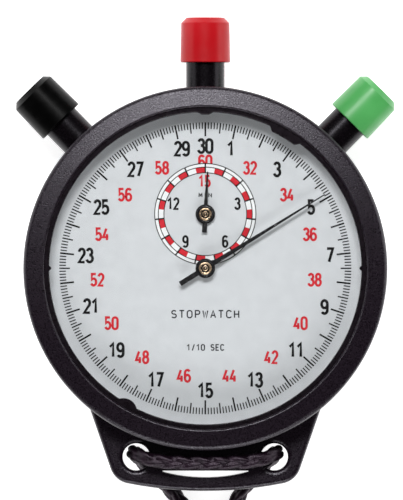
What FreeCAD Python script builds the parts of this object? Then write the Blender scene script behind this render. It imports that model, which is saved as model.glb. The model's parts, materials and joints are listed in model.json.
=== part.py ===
"""Mechanical stopwatch, built as an assembly of separate pieces.

Units are millimetres.  The watch lies on its back on the plane z = 0 with its dial facing +Z and
twelve o'clock towards +Y.  The origin is on the back face, on the axis of the seconds hand.
"""
import FreeCAD, Part
import math
import os
import re

import Sketcher
from FreeCAD import Placement, Rotation, Vector

SIZES = {
    # Case and what closes it
    "case_radius": 32.5, "case_bottom": 0.3, "case_top": 17.0, "case_edge": 0.9,
    "rim_drop": 0.6,
    "rim_radius": 28.9, "crystal_seat": 14.3, "crystal_radius": 28.4, "crystal_top": 15.5,
    "wall_radius": 27.9, "bore_radius": 28.6, "dial_stop": 12.05, "fit_gap": 0.1,
    "cover_radius": 31.5, "cover_thick": 1.2, "spigot_radius": 28.4, "spigot_bore": 27.3,
    "spigot_top": 2.4, "gasket_bottom": 2.45, "gasket_thick": 0.5, "gasket_bore": 27.8,
    "screw_circle": 30.1, "screw_head": 1.0, "screw_shank": 0.6, "screw_end": 5.2,
    # Lug for the cord
    "lug_bottom": 4.5, "lug_thick": 6.5, "lug_root_x": 20.6, "lug_root_y": 25.3,
    "lug_foot_x": 16.2, "lug_foot_y": 38.0, "lug_foot_curve": 72.0, "lug_corner": 4.0,
    "lug_edge": 0.8, "eyelet_x": 12.35, "eyelet_y": 33.78, "eyelet_radius": 2.46,
    "slot_x": 7.7, "slot_top_y": 36.2, "slot_tip_y": 36.45, "slot_curve": 30.0,
    # Movement levels and the dial
    "ring_bore": 27.3, "ring_radius": 28.5, "ring_bottom": 3.0, "ring_top": 9.58,
    "plate_radius": 28.2, "plate_bottom": 9.6, "plate_thick": 1.6,
    "bridge_bottom": 3.2, "bridge_thick": 0.8,
    "dial_radius": 28.4, "dial_bottom": 11.6, "dial_thick": 0.4, "dial_hole": 0.7,
    "arbor_radius": 0.4, "bearing_radius": 0.43, "jewel_radius": 0.8, "jewel_hole": 0.82,
    # Going train
    "third_distance": 6.15, "third_angle": 149.1, "barrel_distance": 8.43, "barrel_angle": 125.0,
    "escape_distance": 5.31, "escape_angle": -30.0, "pallet_distance": 4.6, "pallet_angle": -50.0,
    "balance_distance": 6.3, "minute_axis_y": 9.68,
    "barrel_module": 0.21, "barrel_teeth": 72, "third_module": 0.17, "third_teeth": 64,
    "fourth_module": 0.12, "fourth_teeth": 80, "pinion_leaves": 8, "escape_teeth": 15,
    "escape_radius": 3.2, "minute_module": 0.22, "minute_teeth": 60, "minute_leaves": 16,
    "wheel_thick": 0.25, "barrel_radius": 7.1, "barrel_bottom": 5.0, "barrel_top": 8.5,
    "barrel_wall": 0.5, "barrel_arbor_radius": 1.2, "balance_radius": 5.2,
    # Winding work
    "crown_wheel_y": 18.69, "winding_module": 0.25, "crown_wheel_teeth": 40,
    "ratchet_teeth": 66, "contrate_teeth": 30, "contrate_radius": 3.96, "winding_bottom": 2.2,
    "winding_thick": 0.6, "winding_leaves": 10, "winding_tip": 1.5, "stem_square": 1.4,
    # Push buttons
    "button_height": 8.0, "side_angle": 44.5, "neck_start": 29.2, "neck_end": 38.5,
    "neck_radius": 3.45, "spring_room_start": 31.4, "spring_room_radius": 2.6,
    "cap_start": 36.85, "cap_end": 44.9, "cap_radius": 4.47, "cap_taper": 0.12,
    "cap_chamfer": 0.95, "cap_bore": 3.6, "cap_floor": 41.0, "stem_radius": 1.25,
    "stem_inner": 26.1, "stop_stem_inner": 25.4, "square_start": 20.6, "square_length": 5.2,
    "stem_outer": 42.8, "stem_collar": 1.5, "spring_mean": 1.95,
    "spring_wire": 0.2, "spring_turns": 7, "half_turn": 0.5,
    # Hands
    "hub_radius": 1.75, "hub_ring": 1.3, "hub_bore": 0.85, "hand_thick": 0.2,
    "seconds_level": 13.2, "seconds_reach": 25.1, "seconds_tail": 5.3, "seconds_angle": 58.3,
    "minute_level": 12.5, "minute_reach": 7.6, "minute_tail": 3.3, "minute_angle": 3.0,
    # Neck cord
    "cord_radius": 1.4, "joiner_radius": 2.2, "joiner_start": 44.5, "joiner_end": 50.5,
    "joiner_x": 3.6, "hank_start": 55.0, "hank_end": 109.0, "hank_width": 19.0,
    "hank_thick": 8.6, "hank_corner": 5.0, "tie_middle": 82.0, "tie_length": 6.0,
    "tie_width": 13.4, "tie_thick": 0.7,
}

doc = FreeCAD.newDocument("Stopwatch")
sheet = doc.addObject("Spreadsheet::Sheet", "Size")
for row, (alias, number) in enumerate(SIZES.items(), start=1):
    sheet.set(f"A{row}", alias.replace("_", " "))
    sheet.set(f"B{row}", str(number))
    sheet.setAlias(f"B{row}", alias)
doc.recompute()

pieces = []


# ---------------------------------------------------------------- sizes and expressions
def bound(expression):
    """The expression with every size name pointed at its cell; size names hold an underscore."""
    return re.sub(r"\b([a-z]+_[a-z_]+)\b", r"Size.\1", str(expression))


def value(expression):
    """The number that an expression of size names comes to."""
    return float(sheet.evalExpression(bound(expression)))


def bind(thing, **properties):
    """Bind each property of a document object to an expression of the sheet."""
    for name, expression in properties.items():
        thing.setExpression(name, bound(expression))


def place(thing, x=0, y=0, z=0, rotation=None):
    """Put a document object at a point that is bound to the sheet."""
    if rotation is not None:
        thing.Placement = Placement(Vector(0, 0, 0), rotation)
    for axis, expression in (("x", x), ("y", y), ("z", z)):
        thing.setExpression(f"Placement.Base.{axis}", bound(expression))


def keep(thing, label):
    """Name a finished sub-part and list it for writing."""
    thing.Label = label
    pieces.append(thing)
    return thing


def name_for(stem):
    """An unused internal name for a helper object."""
    return f"{stem}_{len(doc.Objects)}"


# ---------------------------------------------------------------- primitives and booleans
def cylinder(x, y, z, radius, height, rotation=None):
    solid = doc.addObject("Part::Cylinder", name_for("cylinder"))
    bind(solid, Radius=radius, Height=height)
    place(solid, x, y, z, rotation)
    return solid


def box(x, y, z, length, width, height, rotation=None):
    solid = doc.addObject("Part::Box", name_for("box"))
    bind(solid, Length=length, Width=width, Height=height)
    place(solid, x, y, z, rotation)
    return solid


def fused(parts):
    if len(parts) == 1:
        return parts[0]
    union = doc.addObject("Part::MultiFuse", name_for("fuse"))
    union.Shapes = parts
    return union


def cut(base, tools):
    difference = doc.addObject("Part::Cut", name_for("cut"))
    difference.Base = base
    difference.Tool = fused(tools)
    return difference


def tube(x, y, z, radius, bore, height):
    return cut(cylinder(x, y, z, radius, height),
               [cylinder(x, y, f"{z} - 1", bore, f"{height} + 2")])


def bar(start, end, z, width, thick):
    """A straight bar between two points of the plan, centred on the line that joins them."""
    (x0, y0), (x1, y1) = [(value(x), value(y)) for x, y in (start, end)]
    angle = math.degrees(math.atan2(y1 - y0, x1 - x0))
    length = f"sqrt((({end[0]}) - ({start[0]}))^2 + (({end[1]}) - ({start[1]}))^2)"
    offset_x = f"{start[0]} + ({width}) / 2 * sin({angle})"
    offset_y = f"{start[1]} - ({width}) / 2 * cos({angle})"
    return box(offset_x, offset_y, z, length, width, thick, Rotation(Vector(0, 0, 1), angle))


def arm_plate(label, z, thick, bosses, arms, holes=(), posts=()):
    """A flat piece of round bosses joined by bars, with bores through it and posts standing on it.

    bosses: (x, y, radius); arms: (boss, boss, width); holes: (x, y, radius);
    posts: (x, y, radius, top).
    """
    solids = [cylinder(x, y, z, radius, thick) for x, y, radius in bosses]
    for first, second, width in arms:
        solids.append(bar(bosses[first][:2], bosses[second][:2], z, width, thick))
    for x, y, radius, top in posts:
        solids.append(cylinder(x, y, z, radius, f"{top} - ({z})"))
    plate = fused(solids)
    if holes:
        plate = cut(plate, [cylinder(x, y, f"{z} - 1", radius, f"{thick} + 8")
                            for x, y, radius in holes])
    return keep(plate, label)


# ---------------------------------------------------------------- sketched bodies
def new_body(label):
    body = doc.addObject("PartDesign::Body", name_for("body"))
    body.Label = label
    return body


def new_sketch(body, role, height=0):
    """A sketch on one of the body's own origin planes, lifted by a bound height."""
    plane = next(item for item in body.Origin.OriginFeatures if item.Role == role)
    sketch = body.newObject("Sketcher::SketchObject", name_for("sketch"))
    sketch.AttachmentSupport = [(plane, "")]
    sketch.MapMode = "FlatFace"
    sketch.setExpression("AttachmentOffset.Base.z", bound(height))
    return sketch


def pin(sketch, geometry, point, x, y):
    """Hold a point of the sketch at a bound place."""
    for kind, expression in (("DistanceX", x), ("DistanceY", y)):
        index = sketch.addConstraint(
            Sketcher.Constraint(kind, -1, 1, geometry, point, value(expression)))
        sketch.setExpression(f"Constraints[{index}]", bound(expression))


def radius_of(sketch, geometry, radius):
    index = sketch.addConstraint(Sketcher.Constraint("Radius", geometry, value(radius)))
    sketch.setExpression(f"Constraints[{index}]", bound(radius))


def draw_circle(sketch, x, y, radius):
    circle = Part.Circle(Vector(value(x), value(y), 0), Vector(0, 0, 1), value(radius))
    geometry = sketch.addGeometry(circle, False)
    pin(sketch, geometry, 3, x, y)
    radius_of(sketch, geometry, radius)


def draw_outline(sketch, corners, bulges=None):
    """A closed outline, drawn counter-clockwise through bound corners.

    bulges maps an edge's number to its radius: positive bows the edge outwards, negative inwards.
    """
    bulges = bulges or {}
    points = [Vector(value(x), value(y), 0) for x, y in corners]
    starts, ends, edges = [], [], []
    for number, start in enumerate(points):
        end = points[(number + 1) % len(points)]
        if number not in bulges:
            edges.append(sketch.addGeometry(Part.LineSegment(start, end), False))
            starts.append(1)
            ends.append(2)
            continue
        radius = value(bulges[number])
        chord = end - start
        left = Vector(-chord.y, chord.x, 0).normalize()
        rise = math.sqrt(radius ** 2 - (chord.Length / 2) ** 2)
        centre = (start + end) * 0.5 + left * math.copysign(rise, radius)
        first, last = (start, end) if radius > 0 else (end, start)
        angles = [math.atan2(p.y - centre.y, p.x - centre.x) for p in (first, last)]
        circle = Part.Circle(centre, Vector(0, 0, 1), abs(radius))
        edges.append(sketch.addGeometry(Part.ArcOfCircle(circle, *angles), False))
        starts.append(1 if radius > 0 else 2)
        ends.append(2 if radius > 0 else 1)
        radius_of(sketch, edges[-1], f"abs({bulges[number]})")
    for number in range(len(points)):
        following = (number + 1) % len(points)
        sketch.addConstraint(Sketcher.Constraint(
            "Coincident", edges[number], ends[number], edges[following], starts[following]))
        pin(sketch, edges[number], starts[number], *corners[number])


def add_pad(body, sketch, length):
    pad = body.newObject("PartDesign::Pad", name_for("pad"))
    pad.Profile = sketch
    bind(pad, Length=length)
    body.Tip = pad
    return pad


def add_pocket(body, sketch, depth):
    pocket = body.newObject("PartDesign::Pocket", name_for("pocket"))
    pocket.Profile = sketch
    bind(pocket, Length=depth)
    body.Tip = pocket
    return pocket


def add_fillet(body, base, radius, chosen):
    """Round the edges of the body that the test picks."""
    doc.recompute()
    names = [f"Edge{number}" for number, edge in enumerate(base.Shape.Edges, start=1)
             if chosen(edge)]
    fillet = body.newObject("PartDesign::Fillet", name_for("fillet"))
    fillet.Base = (base, names)
    bind(fillet, Radius=radius)
    body.Tip = fillet
    return fillet


def turned(label, profile, x=0, y=0, z=0, rotation=None):
    """A piece turned about its own Z axis from an outline of (radius, height) corners."""
    body = new_body(label)
    sketch = new_sketch(body, "XZ_Plane")
    draw_outline(sketch, profile)
    revolution = body.newObject("PartDesign::Revolution", name_for("revolution"))
    revolution.Profile = sketch
    revolution.ReferenceAxis = (sketch, ["V_Axis"])
    revolution.Angle = 360
    body.Tip = revolution
    place(body, x, y, z, rotation)
    return body


def on_circle(radius, height):
    """A test for edges that are full circles of one radius at one height."""
    def test(edge):
        curve = edge.Curve
        return (isinstance(curve, Part.Circle) and abs(curve.Radius - value(radius)) < 0.01
                and abs(curve.Center.z - value(height)) < 0.01)
    return test


# ---------------------------------------------------------------- toothed wheels
def flank_angle(radius, pitch_radius, teeth):
    """Half the angle that a tooth with involute flanks covers at a radius."""
    pressure = math.radians(25)
    fullness = 0.42
    base_radius = pitch_radius * math.cos(pressure)
    involute = math.tan(pressure) - pressure
    slope = math.acos(min(1.0, base_radius / radius))
    return fullness * math.pi / teeth + involute - (math.tan(slope) - slope)


def tooth_ring(teeth, module, phase, steps):
    """The closed outline of a spur wheel, with one tooth centred on the phase in degrees."""
    pitch_radius = teeth * module / 2
    root = pitch_radius - 0.85 * module
    height = 1.45 * module
    radii = [root + height * step / (steps - 1) for step in range(steps)]
    points = []
    for tooth in range(teeth):
        middle = math.radians(phase) + 2 * math.pi * tooth / teeth
        rising = [(r, middle - flank_angle(r, pitch_radius, teeth)) for r in radii]
        falling = [(r, middle + flank_angle(r, pitch_radius, teeth)) for r in reversed(radii)]
        points += [Vector(r * math.cos(a), r * math.sin(a), 0) for r, a in rising + falling]
    return Part.Face(Part.makePolygon(points + points[:1]))


def spur(teeth, module, thick, phase, bore=0.0, spokes=0):
    """A spur wheel standing on z = 0, with its bore and the gaps between its spokes cut out."""
    steps = 4 if teeth < 20 else 2
    wheel = tooth_ring(teeth, module, phase, steps).extrude(Vector(0, 0, thick))
    if bore:
        wheel = wheel.cut(Part.makeCylinder(bore, thick))
    if spokes:
        pitch_radius = teeth * module / 2
        window = Part.makeCylinder(0.8 * pitch_radius, thick)
        window = window.cut(Part.makeCylinder(0.26 * pitch_radius, thick))
        width = 0.13 * pitch_radius
        for spoke in range(spokes):
            blade = Part.makeBox(pitch_radius, width, thick, Vector(0, -width / 2, 0))
            blade.rotate(Vector(0, 0, 0), Vector(0, 0, 1), 360 * spoke / spokes)
            window = window.cut(blade)
        wheel = wheel.cut(window)
    return wheel


def meshed_phase(phase, teeth, line, other_teeth):
    """The phase of a second wheel so that its gap meets the first wheel's tooth on their line."""
    share = (line - phase) * teeth / 360
    return line + 180 - (0.5 - share) * 360 / other_teeth


def shaped(label, shape, x=0, y=0, z=0, rotation=None):
    """A sub-part whose shape follows a formula that sketches and primitives cannot hold."""
    feature = doc.addObject("Part::Feature", name_for("shaped"))
    feature.Shape = shape
    place(feature, x, y, z, rotation)
    return keep(feature, label)


def spiral_strip(inner, outer, turns, thick, height):
    """A flat coiled spring: a strip on edge that follows an even spiral."""
    steps = 24 * turns
    line = []
    for step in range(steps + 1):
        angle = 2 * math.pi * step / 24
        radius = inner + (outer - inner) * step / steps
        line.append((radius, angle))
    outside = [Vector((r + thick / 2) * math.cos(a), (r + thick / 2) * math.sin(a), 0)
               for r, a in line]
    inside = [Vector((r - thick / 2) * math.cos(a), (r - thick / 2) * math.sin(a), 0)
              for r, a in reversed(line)]
    curves = []
    for points in (outside, inside):
        curve = Part.BSplineCurve()
        curve.interpolate(points)
        curves.append(curve.toShape())
    ends = [Part.makeLine(outside[-1], inside[0]), Part.makeLine(inside[-1], outside[0])]
    wire = Part.Wire([curves[0], ends[0], curves[1], ends[1]])
    return Part.Face(wire).extrude(Vector(0, 0, height))


def helix_spring(label, mean, wire, start, end, turns, x, y, z, rotation):
    """A coil spring along its own Z axis between two heights."""
    helix = doc.addObject("Part::Helix", name_for("helix"))
    bind(helix, Radius=mean, Pitch=f"(({end}) - ({start})) / ({turns})",
         Height=f"({end}) - ({start})", SegmentLength="half_turn")
    section = doc.addObject("Part::Circle", name_for("section"))
    bind(section, Radius=wire)
    section.Placement = Placement(Vector(0, 0, 0), Rotation(Vector(1, 0, 0), 90))
    section.setExpression("Placement.Base.x", bound(mean))
    doc.recompute()
    sweep = doc.addObject("Part::Sweep", name_for("sweep"))
    sweep.Sections = [section]
    sweep.Spine = (helix, [f"Edge{n + 1}" for n in range(len(helix.Shape.Edges))])
    sweep.Solid = True
    sweep.Frenet = True
    direction = rotation.multVec(Vector(0, 0, 1))
    place(sweep, f"({x}) + ({start}) * {direction.x}", f"({y}) + ({start}) * {direction.y}",
          f"({z}) + ({start}) * {direction.z}", rotation)
    return keep(sweep, label)


# ---------------------------------------------------------------- axes of the movement
def along(start, distance, angle):
    """The point at a bound distance and angle from another point."""
    return (f"{start[0]} + ({distance}) * cos({angle})",
            f"{start[1]} + ({distance}) * sin({angle})")


SECONDS = ("0", "0")
MINUTES = ("0", "minute_axis_y")
THIRD = along(SECONDS, "third_distance", "third_angle")
BARREL = along(THIRD, "barrel_distance", "barrel_angle")
ESCAPE = along(SECONDS, "escape_distance", "escape_angle")
PALLET = along(ESCAPE, "pallet_distance", "pallet_angle")
BALANCE = along(PALLET, "balance_distance", "pallet_angle")
CROWN_WHEEL = ("0", "crown_wheel_y")


def direction_of(start, end):
    """The angle in degrees of the line from one axis to another."""
    return math.degrees(math.atan2(value(end[1]) - value(start[1]), value(end[0]) - value(start[0])))


# ---------------------------------------------------------------- case
BUTTONS = {"start": "90 - side_angle", "stop": "90", "reset": "90 + side_angle"}


def radial(angle):
    """The turn that lays a piece's own Z axis outwards along a radius of the case."""
    degrees = value(angle)
    return Rotation(Vector(0, 0, 1), degrees) * Rotation(Vector(0, 1, 0), 90)


def radial_cylinder(angle, start, end, radius):
    return cylinder(f"({start}) * cos({angle})", f"({start}) * sin({angle})", "button_height",
                    radius, f"({end}) - ({start})", radial(angle))


SCREW_ANGLES = (10, 170, 270)


def around(circle, angle):
    return (f"{circle} * cos({angle})", f"{circle} * sin({angle})")


def case_shell():
    body = turned("case_blank", [
        ("bore_radius", "cover_thick"), ("cover_radius + fit_gap", "cover_thick"),
        ("cover_radius + fit_gap", "case_bottom"), ("case_radius", "case_bottom"),
        ("case_radius", "case_top - rim_drop"), ("rim_radius", "case_top"),
        ("crystal_radius + 0.05", "crystal_top + fit_gap"),
        ("crystal_radius + 0.05", "crystal_seat"), ("wall_radius", "crystal_seat"),
        ("wall_radius", "dial_stop"), ("bore_radius", "dial_stop")])
    add_fillet(body, body.Tip, "case_edge", on_circle("case_radius", "case_top - rim_drop"))
    add_fillet(body, body.Tip, "case_edge / 2", on_circle("case_radius", "case_bottom"))
    add_fillet(body, body.Tip, "case_edge / 3", on_circle("rim_radius", "case_top"))
    lug = new_sketch(body, "XY_Plane", "lug_bottom")
    draw_outline(lug, [
        ("-lug_root_x", "-lug_root_y"), ("-lug_foot_x", "-lug_foot_y"),
        ("lug_foot_x", "-lug_foot_y"), ("lug_root_x", "-lug_root_y"),
        ("lug_root_x", "-lug_root_y + 3.3"), ("-lug_root_x", "-lug_root_y + 3.3")],
        {1: "lug_foot_curve", 4: "-30"})
    base = add_pad(body, lug, "lug_thick")
    base = add_fillet(body, base, "lug_corner", lambda edge: (
        abs(edge.Vertexes[0].Y + value("lug_foot_y")) < 0.01
        and abs(edge.Vertexes[-1].Y + value("lug_foot_y")) < 0.01
        and edge.Length < value("lug_thick") + 0.1))
    holes = new_sketch(body, "XY_Plane", "lug_bottom + lug_thick + 1")
    for side in ("-", ""):
        draw_circle(holes, f"{side}eyelet_x", "-eyelet_y", "eyelet_radius")
    draw_outline(holes, [("-slot_x", "-slot_tip_y"), ("slot_x", "-slot_tip_y"),
                         ("slot_x", "-slot_top_y"), ("-slot_x", "-slot_top_y")],
                 {0: "slot_curve"})
    base = add_pocket(body, holes, "lug_thick + 2")
    lug_levels = (value("lug_bottom"), value("lug_bottom + lug_thick"))
    add_fillet(body, base, "lug_edge", lambda edge: (
        edge.BoundBox.ZLength < 0.01
        and any(abs(edge.BoundBox.ZMin - level) < 0.01 for level in lug_levels)
        and edge.BoundBox.YMax < -26 and edge.BoundBox.XLength < 35
        and not (edge.BoundBox.XMax < value("slot_x") + 0.1
                 and edge.BoundBox.XMin > -value("slot_x") - 0.1)
        and abs(edge.CenterOfMass.y) > 32.6))
    tools = [radial_cylinder(angle, "neck_start - 2", "case_radius + 1", "neck_radius + 0.02")
             for angle in BUTTONS.values()]
    for angle in SCREW_ANGLES:
        x, y = around("screw_circle", angle)
        tools.append(cylinder(x, y, "0", "screw_shank + 0.02", "screw_end + fit_gap"))
    return keep(cut(body, tools), "case_shell")


def back_cover():
    body = turned("cover_blank", [
        ("0", "0"), ("cover_radius", "0"), ("cover_radius", "cover_thick - 0.02"),
        ("spigot_radius", "cover_thick - 0.02"), ("spigot_radius", "spigot_top"),
        ("spigot_bore", "spigot_top"), ("spigot_bore", "cover_thick"), ("0", "cover_thick")])
    add_fillet(body, body.Tip, "0.15", on_circle("cover_radius", "0"))
    tools = []
    for angle in SCREW_ANGLES:
        x, y = around("screw_circle", angle)
        tools.append(cylinder(x, y, "-1", "screw_shank + 0.05", "cover_thick + 2"))
        tools.append(cylinder(x, y, "-1", "screw_head + 0.05", "1.65"))
    keep(cut(body, tools), "back_cover")
    screws = []
    for angle in SCREW_ANGLES:
        x, y = around("screw_circle", angle)
        head = cylinder(x, y, "0.08", "screw_head", "0.55")
        shank = cylinder(x, y, "0.6", "screw_shank", "screw_end - 0.6")
        slot = box(f"{x} - 1.5", f"{y} - 0.15", "0", "3", "0.3", "0.33")
        screws.append(cut(fused([head, shank]), [slot]))
    keep(fused(screws), "back_cover_screws")
    keep(tube("0", "0", "gasket_bottom", "bore_radius - 0.05", "gasket_bore", "gasket_thick"),
         "cover_gasket")


def crystal_and_dial():
    glass = turned("crystal", [
        ("0", "crystal_seat + 0.02"), ("crystal_radius", "crystal_seat + 0.02"),
        ("crystal_radius", "crystal_top"), ("0", "crystal_top")])
    add_fillet(glass, glass.Tip, "0.3", on_circle("crystal_radius", "crystal_top"))
    keep(glass, "crystal")
    keep(cut(cylinder("0", "0", "dial_bottom", "dial_radius", "dial_thick"),
             [cylinder(x, y, "dial_bottom - 1", "dial_hole", "3") for x, y in (SECONDS, MINUTES)]),
         "dial")


# ---------------------------------------------------------------- frame of the movement
SCREW_POSTS = [("-20.6", "6.4"), ("-9.4", "20.4"), ("-13.4", "-5.0"), ("9.6", "7.4"),
               ("17.2", "-17.9"), ("1.5", "-9.2")]


def movement_frame():
    ring = tube("0", "0", "ring_bottom", "ring_radius", "ring_bore", "ring_top - ring_bottom")
    keep(cut(ring, [radial_cylinder(angle, "ring_bore - 2", "ring_radius + 2", "2.2")
                    for angle in BUTTONS.values()]), "movement_ring")
    bores = [(*axis, "bearing_radius") for axis in (SECONDS, MINUTES, THIRD, ESCAPE, PALLET, BALANCE)]
    bores.append((*BARREL, "barrel_arbor_radius - 0.37"))
    keep(cut(cylinder("0", "0", "plate_bottom", "plate_radius", "plate_thick"),
             [cylinder(x, y, "plate_bottom - 1", radius, "plate_thick + 2")
              for x, y, radius in bores]), "mainplate")
    top = "plate_bottom"
    keep_bridge = [
        ("barrel_bridge", [BARREL, SCREW_POSTS[0], SCREW_POSTS[1]], [(0, 1), (0, 2)], "4.4",
         [(*BARREL, "barrel_arbor_radius - 0.37")], (1, 2)),
        ("train_bridge", [SECONDS, THIRD, ESCAPE, SCREW_POSTS[2], SCREW_POSTS[3], MINUTES],
         [(0, 1), (0, 2), (1, 3), (0, 4), (4, 5)], "2.6",
         [(*axis, "jewel_hole") for axis in (SECONDS, THIRD, ESCAPE, MINUTES)], (3, 4)),
        ("balance_cock", [BALANCE, SCREW_POSTS[4]], [(0, 1)], "4.0",
         [(*BALANCE, "jewel_hole")], (1,)),
        ("pallet_bridge", [PALLET, SCREW_POSTS[5]], [(0, 1)], "2.4",
         [(*PALLET, "jewel_hole")], (1,))]
    for label, stations, links, width, holes, posts in keep_bridge:
        bosses = [(x, y, f"{width} / 2") for x, y in stations]
        arms = [(first, second, f"{width} * 0.85") for first, second in links]
        threads = [(*stations[post], "0.42") for post in posts]
        arm_plate(label, "bridge_bottom", "bridge_thick", bosses, arms, holes + threads,
                  [(*stations[post], "1.2", top) for post in posts])
    screws = []
    for x, y in SCREW_POSTS:
        head = cylinder(x, y, "bridge_bottom - 0.42", "0.9", "0.4")
        shank = cylinder(x, y, "bridge_bottom - 0.1", "0.4", "5")
        slot = box(f"{x} - 1", f"{y} - 0.1", "bridge_bottom - 0.5", "2", "0.2", "0.25")
        screws.append(cut(fused([head, shank]), [slot]))
    keep(fused(screws), "bridge_screws")
    keep(fused([tube(x, y, "bridge_bottom", "jewel_radius", "bearing_radius", "bridge_thick")
                for x, y in (SECONDS, THIRD, ESCAPE, MINUTES, PALLET, BALANCE)]),
         "jewel_bearings")


def arbor(x, y, bottom, top, radius="arbor_radius"):
    return cylinder(x, y, bottom, radius, f"{top} - ({bottom})")


def wheel(x, y, z, teeth, module, thick, phase, bore=0.0, spokes=0):
    """A spur wheel placed on an axis, to be joined with its arbor."""
    feature = doc.addObject("Part::Feature", name_for("wheel"))
    feature.Shape = spur(int(value(teeth)), value(module), value(thick), phase, bore, spokes)
    place(feature, x, y, z)
    return feature


# ---------------------------------------------------------------- going train
ARBOR_END = "plate_bottom + 0.6"
ARBOR_START = "bridge_bottom + 0.1"


def barrel_group():
    x, y = BARREL
    wall = tube(x, y, "barrel_bottom", "barrel_radius", "barrel_radius - barrel_wall",
                "barrel_top - barrel_bottom - 0.35")
    floor = tube(x, y, "barrel_bottom", "barrel_radius", "barrel_arbor_radius + 0.05", "0.4")
    teeth = wheel(x, y, "7.6", "barrel_teeth", "barrel_module", "0.6", 0.0,
                  value("barrel_radius - barrel_wall"))
    keep(fused([wall, floor, teeth]), "barrel_drum")
    keep(tube(x, y, "barrel_top - 0.3", "barrel_radius", "barrel_arbor_radius + 0.05", "0.3"),
         "barrel_cover")
    strip = spiral_strip(value("barrel_arbor_radius + 1.6"),
                         value("barrel_radius - barrel_wall - 0.2"), 7, 0.16, 2.2)
    shaped("mainspring", strip, x, y, "barrel_bottom + 0.6")
    body = arbor(x, y, "barrel_bottom - 0.3", "barrel_top + 0.3", "barrel_arbor_radius")
    ends = arbor(x, y, "winding_bottom - 0.3", ARBOR_END, "barrel_arbor_radius - 0.4")
    square = box(f"{x} - 0.5", f"{y} - 0.5", "winding_bottom - 0.3", "1", "1",
                 "bridge_bottom - winding_bottom")
    keep(fused([body, ends, square]), "barrel_arbor")


def train_wheels():
    x, y = THIRD
    to_third = direction_of(BARREL, THIRD)
    pinion_phase = meshed_phase(0, value("barrel_teeth"), to_third, value("pinion_leaves"))
    keep(fused([arbor(x, y, ARBOR_START, ARBOR_END),
                wheel(x, y, "4.5", "third_teeth", "third_module", "wheel_thick", 0.0, 0.3, 5),
                wheel(x, y, "7.3", "pinion_leaves", "barrel_module", "1.2", pinion_phase),
                wheel(x, y, "8.7", "minute_leaves", "minute_module", "0.65", 0.0)]),
         "third_wheel")
    to_seconds = direction_of(THIRD, SECONDS)
    phase = meshed_phase(0, value("third_teeth"), to_seconds, value("pinion_leaves"))
    keep(fused([arbor("0", "0", "1.45", "seconds_level + 0.35"),
                wheel("0", "0", "4.25", "pinion_leaves", "third_module", "0.8", phase)]),
         "seconds_arbor")
    shaped("fourth_wheel", spur(int(value("fourth_teeth")), value("fourth_module"),
                                value("wheel_thick"), 0.0, value("arbor_radius"), 4),
           "0", "0", "6.6")
    x, y = ESCAPE
    phase = meshed_phase(0, value("fourth_teeth"), direction_of(SECONDS, ESCAPE),
                         value("pinion_leaves"))
    escape = doc.addObject("Part::Feature", name_for("escape"))
    escape.Shape = saw_wheel()
    place(escape, x, y, "7.4")
    keep(fused([arbor(x, y, ARBOR_START, ARBOR_END), escape,
                wheel(x, y, "6.35", "pinion_leaves", "fourth_module", "0.8", phase)]),
         "escape_wheel")


def saw_wheel():
    """The escape wheel: pointed teeth that lean forwards on a spoked rim."""
    count = int(value("escape_teeth"))
    tip = value("escape_radius")
    points = []
    for tooth in range(count):
        start = 360 * tooth / count
        for radius, angle in ((0.72 * tip, 0), (0.74 * tip, 9), (tip, 17), (tip, 19.5),
                              (0.72 * tip, 17.5)):
            turn = math.radians(start + angle)
            points.append(Vector(radius * math.cos(turn), radius * math.sin(turn), 0))
    thick = value("wheel_thick")
    disc = Part.Face(Part.makePolygon(points + points[:1])).extrude(Vector(0, 0, thick))
    window = Part.makeCylinder(0.62 * tip, thick).cut(Part.makeCylinder(0.27 * tip, thick))
    for spoke in range(4):
        blade = Part.makeBox(tip, 0.4, thick, Vector(0, -0.2, 0))
        blade.rotate(Vector(0, 0, 0), Vector(0, 0, 1), 90 * spoke)
        window = window.cut(blade)
    return disc.cut(window)


def escapement():
    x, y = PALLET
    heading = value("pallet_angle")
    fork = [cylinder(x, y, "7.4", "0.75", "wheel_thick"), arbor(x, y, ARBOR_START, ARBOR_END)]
    tip = along(PALLET, "balance_distance - 1.35", "pallet_angle")
    fork.append(bar(PALLET, tip, "7.4", "0.45", "wheel_thick"))
    for side in ("+ 34", "- 34"):
        stone = along(ESCAPE, "escape_radius + 0.62", f"(pallet_angle {side})")
        fork.append(bar(PALLET, stone, "7.4", "0.4", "wheel_thick"))
        fork.append(cylinder(*stone, "7.4", "0.28", "wheel_thick"))
    keep(fused(fork), "pallet_fork")
    x, y = BALANCE
    rim = tube(x, y, "5.6", "balance_radius", "balance_radius - 0.7", "0.5")
    start, end = (along(BALANCE, f"{sign}(balance_radius - 0.3)", heading) for sign in ("", "-"))
    keep(cut(fused([rim, bar(start, end, "5.6", "0.7", "0.5"), cylinder(x, y, "5.6", "0.9", "0.5")]),
             [cylinder(x, y, "5", "arbor_radius", "2")]), "balance_wheel")
    roller = along(BALANCE, "0.55", "pallet_angle")
    keep(fused([arbor(x, y, ARBOR_START, ARBOR_END), cylinder(x, y, "6.8", "0.8", "0.4"),
                cylinder(*roller, "6.8", "0.12", "0.9")]), "balance_staff")
    shaped("hairspring", spiral_strip(0.8, 3.0, 9, 0.07, 0.25), x, y, "4.7")


# ---------------------------------------------------------------- minute counting and zeroing
def heart(radius, thick):
    """A heart cam: its radius grows evenly from the notch to the far side."""
    least = 0.42 * radius
    half = [Vector((least + (radius - least) * step / 12) * math.cos(math.pi * step / 12),
                   (least + (radius - least) * step / 12) * math.sin(math.pi * step / 12), 0)
            for step in range(13)]
    curve = Part.BSplineCurve()
    curve.interpolate(half)
    mirrored = Part.BSplineCurve()
    mirrored.interpolate([Vector(point.x, -point.y, 0) for point in half])
    wire = Part.Wire([curve.toShape(), mirrored.toShape()])
    cam = Part.Face(wire).extrude(Vector(0, 0, thick))
    return cam.cut(Part.makeCylinder(value("arbor_radius"), thick))


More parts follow.
